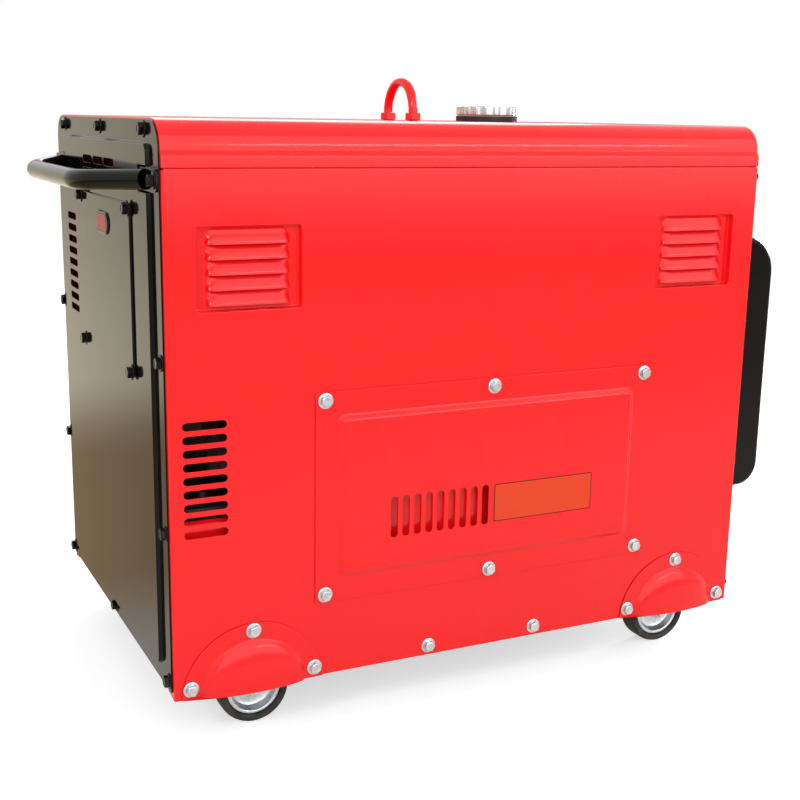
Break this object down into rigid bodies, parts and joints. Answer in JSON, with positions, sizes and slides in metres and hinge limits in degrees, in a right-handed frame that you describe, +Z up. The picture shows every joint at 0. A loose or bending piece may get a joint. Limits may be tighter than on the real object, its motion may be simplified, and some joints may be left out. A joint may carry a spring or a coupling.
{
  "type": "portable generator",
  "caption": "Silenced portable generator in a red sheet-steel enclosure with black ends, carrying handle, outlet hood, lifting eye, fuel cap and swivel casters.",
  "frame": {"origin": "on the floor, under the middle of the whole object's box", "axes": "+X along the enclosure towards the air outlet hood, the handle being at -X; +Y across towards the control panel; +Z up"},
  "size_m": [0.927, 0.5546, 0.762],
  "materials": {
    "red_paint": "gloss red enamel",
    "black_paint": "gloss black enamel",
    "zinc": "bright zinc plate",
    "chrome": "polished chrome",
    "cast_aluminium": "as cast",
    "dark_steel": "dark satin",
    "rubber": "matte",
    "tyre": "matte",
    "black_plastic": "satin",
    "grey_plate": "satin grey enamel",
    "white_plastic": "satin",
    "red_plastic": "gloss",
    "blue_plastic": "satin"
  },
  "bodies": {
    "enclosure": {"base_tray": "black_paint", "front_panel": "red_paint", "rear_panel": "red_paint", "roof": "red_paint", "left_end_panel": "black_paint", "right_end_panel": "black_paint", "maintenance_cover": "red_paint", "service_cover": "black_paint", "air_hood": "black_paint", "carry_handle": "black_paint", "lifting_eye": "red_paint", "lifting_nut_front": "red_paint", "lifting_nut_rear": "red_paint", "lifting_frame": "black_paint", "fuel_tank": "dark_steel", "control_panel": "grey_plate", "voltmeter": "black_plastic", "breaker": "white_plastic", "key_switch": "chrome", "socket_upper": "blue_plastic", "socket_lower": "blue_plastic", "terminal_block": "red_plastic", "engine_block": "cast_aluminium", "cylinder_head": "cast_aluminium", "alternator_housing": "cast_aluminium", "muffler": "dark_steel", "air_filter": "black_plastic", "battery": "black_plastic", "engine_mount_front": "rubber", "alternator_mount_front": "rubber", "engine_mount_rear": "rubber", "alternator_mount_rear": "rubber", "wheel_cover_left_front": "red_paint", "wheel_cover_left_rear": "red_paint", "wheel_cover_right_front": "red_paint", "wheel_cover_right_rear": "red_paint"},
    "caster_left_front": {"caster_fork_left_front": "zinc"},
    "wheel_left_front": {"wheel_rim_left_front": "zinc", "tyre_left_front": "tyre"},
    "caster_left_rear": {"caster_fork_left_rear": "zinc"},
    "wheel_left_rear": {"wheel_rim_left_rear": "zinc", "tyre_left_rear": "tyre"},
    "caster_right_front": {"caster_fork_right_front": "zinc"},
    "wheel_right_front": {"wheel_rim_right_front": "zinc", "tyre_right_front": "tyre"},
    "caster_right_rear": {"caster_fork_right_rear": "zinc"},
    "wheel_right_rear": {"wheel_rim_right_rear": "zinc", "tyre_right_rear": "tyre"},
    "crank": {"crankshaft": "dark_steel", "flywheel_fan": "dark_steel", "alternator_rotor": "dark_steel"},
    "cap_seal": {"cap_gasket": "rubber"},
    "cap": {"fuel_cap": "chrome"},
    "toggle": {"breaker_toggle": "black_plastic"},
    "key": {"ignition_key": "zinc"},
    "needle": {"voltmeter_needle": "red_plastic"},
    "lid_upper": {"socket_lid_upper": "blue_plastic"},
    "lid_lower": {"socket_lid_lower": "blue_plastic"},
    "door": {"service_door": "red_paint"},
    "latch": {"door_latch": "zinc"}
  },
  "joints": [
    {"name": "caster_swivel_left_front", "type": "hinge", "parent": "enclosure", "child": "caster_left_front", "pos_m": [-0.30165, -0.202, 0.1045], "axis": [0, 0, 1], "continuous": true},
    {"name": "wheel_spin_left_front", "type": "hinge", "parent": "caster_left_front", "child": "wheel_left_front", "pos_m": [-0.28465, -0.202, 0.0435], "axis": [0, 1, 0], "continuous": true},
    {"name": "caster_swivel_left_rear", "type": "hinge", "parent": "enclosure", "child": "caster_left_rear", "pos_m": [-0.30165, 0.202, 0.1045], "axis": [0, 0, 1], "continuous": true},
    {"name": "wheel_spin_left_rear", "type": "hinge", "parent": "caster_left_rear", "child": "wheel_left_rear", "pos_m": [-0.28465, 0.202, 0.0435], "axis": [0, 1, 0], "continuous": true},
    {"name": "caster_swivel_right_front", "type": "hinge", "parent": "enclosure", "child": "caster_right_front", "pos_m": [0.29235, -0.202, 0.1045], "axis": [0, 0, 1], "continuous": true},
    {"name": "wheel_spin_right_front", "type": "hinge", "parent": "caster_right_front", "child": "wheel_right_front", "pos_m": [0.30935, -0.202, 0.0435], "axis": [0, 1, 0], "continuous": true},
    {"name": "caster_swivel_right_rear", "type": "hinge", "parent": "enclosure", "child": "caster_right_rear", "pos_m": [0.29235, 0.202, 0.1045], "axis": [0, 0, 1], "continuous": true},
    {"name": "wheel_spin_right_rear", "type": "hinge", "parent": "caster_right_rear", "child": "wheel_right_rear", "pos_m": [0.30935, 0.202, 0.0435], "axis": [0, 1, 0], "continuous": true},
    {"name": "crank_spin", "type": "hinge", "parent": "enclosure", "child": "crank", "pos_m": [-0.00465, 0, 0.2585], "axis": [1, 0, 0], "continuous": true},
    {"name": "cap_lift", "type": "slide", "parent": "enclosure", "child": "cap_seal", "axis": [0, 0, 1], "range_m": [0, 0.04]},
    {"name": "cap_turn", "type": "hinge", "parent": "cap_seal", "child": "cap", "pos_m": [0.13235, 0, 0.7141], "axis": [0, 0, 1], "range_deg": [0, 90]},
    {"name": "breaker_switch", "type": "hinge", "parent": "enclosure", "child": "toggle", "pos_m": [-0.21465, 0.2595, 0.5615], "axis": [1, 0, 0], "range_deg": [0, 40]},
    {"name": "key_turn", "type": "hinge", "parent": "enclosure", "child": "key", "pos_m": [-0.15265, 0.2612, 0.5615], "axis": [0, -1, 0], "range_deg": [0, 90]},
    {"name": "needle_swing", "type": "hinge", "parent": "enclosure", "child": "needle", "pos_m": [-0.29265, 0.2662, 0.5475], "axis": [0, -1, 0], "range_deg": [0, 90], "stiffness_Nm_per_rad": 0.0002, "springref_deg": -17.19},
    {"name": "socket_lid_upper_hinge", "type": "hinge", "parent": "enclosure", "child": "lid_upper", "pos_m": [-0.09065, 0.2688, 0.5905], "axis": [1, 0, 0], "range_deg": [0, 110], "stiffness_Nm_per_rad": 0.01, "springref_deg": -17.19},
    {"name": "socket_lid_lower_hinge", "type": "hinge", "parent": "enclosure", "child": "lid_lower", "pos_m": [-0.09065, 0.2688, 0.5125], "axis": [1, 0, 0], "range_deg": [0, 110], "stiffness_Nm_per_rad": 0.01, "springref_deg": -17.19},
    {"name": "service_door_hinge", "type": "hinge", "parent": "enclosure", "child": "door", "pos_m": [-0.03445, 0.2678, 0.2845], "axis": [0, 0, 1], "range_deg": [0, 110]},
    {"name": "door_latch_turn", "type": "hinge", "parent": "door", "child": "latch", "pos_m": [0.28835, 0.263, 0.2845], "axis": [0, -1, 0], "range_deg": [0, 90]}
  ]
}
